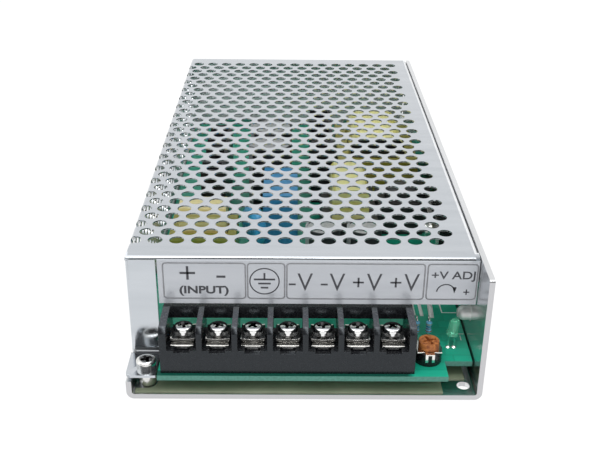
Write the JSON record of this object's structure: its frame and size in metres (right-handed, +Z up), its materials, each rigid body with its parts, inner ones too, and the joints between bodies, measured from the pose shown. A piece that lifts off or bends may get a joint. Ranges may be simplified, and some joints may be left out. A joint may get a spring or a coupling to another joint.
{
  "type": "power converter",
  "caption": "Enclosed DC power converter: perforated folded cover on a sheet chassis, with a barrier terminal block, output trimmer and indicator lamp on an open front shelf.",
  "frame": {"origin": "middle of the footprint, on the mounting surface", "axes": "+X right and +Y to the back, seen from the terminals, +Z up"},
  "size_m": [0.098, 0.199, 0.038],
  "materials": {
    "chassis_sheet": "bare rolled sheet",
    "cover_sheet": "bright plated thin sheet",
    "insulating_film": "translucent film",
    "board": "solder resist over glass epoxy",
    "plated_steel": "bright plating",
    "black_moulding": "moulded satin",
    "contact_metal": "tin plated",
    "rotor_plastic": "moulded",
    "lamp_resin": "tinted clear resin",
    "resistor_lacquer": "dipped lacquer",
    "ferrite": "ground",
    "coil_tape": "wound film tape",
    "capacitor_sleeve": "shrunk sleeve",
    "blue_case": "moulded case",
    "blue_coating": "dipped coating",
    "black_anodised": "black anodised",
    "pad_silicone": "matt"
  },
  "bodies": {
    "case": {"chassis": "chassis_sheet", "cover": "cover_sheet", "insulating_sheet": "insulating_film", "circuit_board": "board", "board_standoffs": "plated_steel", "board_screws": "plated_steel", "foot_screw": "plated_steel", "cover_screws": "plated_steel", "side_nuts": "plated_steel", "terminal_block": "black_moulding", "contact_plate_1": "contact_metal", "contact_plate_2": "contact_metal", "contact_plate_3": "contact_metal", "contact_plate_4": "contact_metal", "contact_plate_5": "contact_metal", "contact_plate_6": "contact_metal", "contact_plate_7": "contact_metal", "trimmer_base": "black_moulding", "trimmer_clip": "plated_steel", "indicator_lamp": "lamp_resin", "resistor_1": "resistor_lacquer", "resistor_2": "resistor_lacquer", "transformer_core": "ferrite", "transformer_bobbin": "black_moulding", "transformer_coil": "coil_tape", "choke_core": "ferrite", "choke_coil": "coil_tape", "drive_core": "ferrite", "drive_coil": "coil_tape", "filter_core": "ferrite", "filter_coil": "coil_tape", "input_capacitor_1": "capacitor_sleeve", "input_capacitor_2": "capacitor_sleeve", "output_capacitor_1": "capacitor_sleeve", "output_capacitor_2": "capacitor_sleeve", "film_capacitor": "blue_case", "surge_absorber": "blue_coating", "input_heat_sink": "black_anodised", "output_heat_sink": "black_anodised", "power_device_1": "black_moulding", "power_device_2": "black_moulding", "thermal_pad": "pad_silicone", "wall_clamp": "plated_steel", "clamp_screw": "plated_steel"},
    "washer_1": {"clamp_washer_1": "plated_steel"},
    "screw_1": {"terminal_screw_1": "plated_steel"},
    "washer_2": {"clamp_washer_2": "plated_steel"},
    "screw_2": {"terminal_screw_2": "plated_steel"},
    "washer_3": {"clamp_washer_3": "plated_steel"},
    "screw_3": {"terminal_screw_3": "plated_steel"},
    "washer_4": {"clamp_washer_4": "plated_steel"},
    "screw_4": {"terminal_screw_4": "plated_steel"},
    "washer_5": {"clamp_washer_5": "plated_steel"},
    "screw_5": {"terminal_screw_5": "plated_steel"},
    "washer_6": {"clamp_washer_6": "plated_steel"},
    "screw_6": {"terminal_screw_6": "plated_steel"},
    "washer_7": {"clamp_washer_7": "plated_steel"},
    "screw_7": {"terminal_screw_7": "plated_steel"},
    "trimmer": {"trimmer_rotor": "rotor_plastic"}
  },
  "joints": [
    {"name": "terminal_1_lift", "type": "slide", "parent": "case", "child": "washer_1", "axis": [0, 0, 1], "range_m": [0, 0.0024]},
    {"name": "terminal_1_turn", "type": "hinge", "parent": "washer_1", "child": "screw_1", "pos_m": [-0.0335, -0.0912, 0.0167], "axis": [0, 0, 1], "range_deg": [0, 1440]},
    {"name": "terminal_2_lift", "type": "slide", "parent": "case", "child": "washer_2", "axis": [0, 0, 1], "range_m": [0, 0.0024]},
    {"name": "terminal_2_turn", "type": "hinge", "parent": "washer_2", "child": "screw_2", "pos_m": [-0.0239, -0.0912, 0.0167], "axis": [0, 0, 1], "range_deg": [0, 1440]},
    {"name": "terminal_3_lift", "type": "slide", "parent": "case", "child": "washer_3", "axis": [0, 0, 1], "range_m": [0, 0.0024]},
    {"name": "terminal_3_turn", "type": "hinge", "parent": "washer_3", "child": "screw_3", "pos_m": [-0.0143, -0.0912, 0.0167], "axis": [0, 0, 1], "range_deg": [0, 1440]},
    {"name": "terminal_4_lift", "type": "slide", "parent": "case", "child": "washer_4", "axis": [0, 0, 1], "range_m": [0, 0.0024]},
    {"name": "terminal_4_turn", "type": "hinge", "parent": "washer_4", "child": "screw_4", "pos_m": [-0.0047, -0.0912, 0.0167], "axis": [0, 0, 1], "range_deg": [0, 1440]},
    {"name": "terminal_5_lift", "type": "slide", "parent": "case", "child": "washer_5", "axis": [0, 0, 1], "range_m": [0, 0.0024]},
    {"name": "terminal_5_turn", "type": "hinge", "parent": "washer_5", "child": "screw_5", "pos_m": [0.0049, -0.0912, 0.0167], "axis": [0, 0, 1], "range_deg": [0, 1440]},
    {"name": "terminal_6_lift", "type": "slide", "parent": "case", "child": "washer_6", "axis": [0, 0, 1], "range_m": [0, 0.0024]},
    {"name": "terminal_6_turn", "type": "hinge", "parent": "washer_6", "child": "screw_6", "pos_m": [0.0145, -0.0912, 0.0167], "axis": [0, 0, 1], "range_deg": [0, 1440]},
    {"name": "terminal_7_lift", "type": "slide", "parent": "case", "child": "washer_7", "axis": [0, 0, 1], "range_m": [0, 0.0024]},
    {"name": "terminal_7_turn", "type": "hinge", "parent": "washer_7", "child": "screw_7", "pos_m": [0.0241, -0.0912, 0.0167], "axis": [0, 0, 1], "range_deg": [0, 1440]},
    {"name": "trimmer_turn", "type": "hinge", "parent": "case", "child": "trimmer", "pos_m": [0.03455, -0.0911, 0.012], "axis": [0, 0, 1], "range_deg": [-105, 105]}
  ],
  "couplings": [
    {"joint": "terminal_1_turn", "follows": "terminal_1_lift", "rad_per_m": 10472},
    {"joint": "terminal_2_turn", "follows": "terminal_2_lift", "rad_per_m": 10472},
    {"joint": "terminal_3_turn", "follows": "terminal_3_lift", "rad_per_m": 10472},
    {"joint": "terminal_4_turn", "follows": "terminal_4_lift", "rad_per_m": 10472},
    {"joint": "terminal_5_turn", "follows": "terminal_5_lift", "rad_per_m": 10472},
    {"joint": "terminal_6_turn", "follows": "terminal_6_lift", "rad_per_m": 10472},
    {"joint": "terminal_7_turn", "follows": "terminal_7_lift", "rad_per_m": 10472}
  ]
}
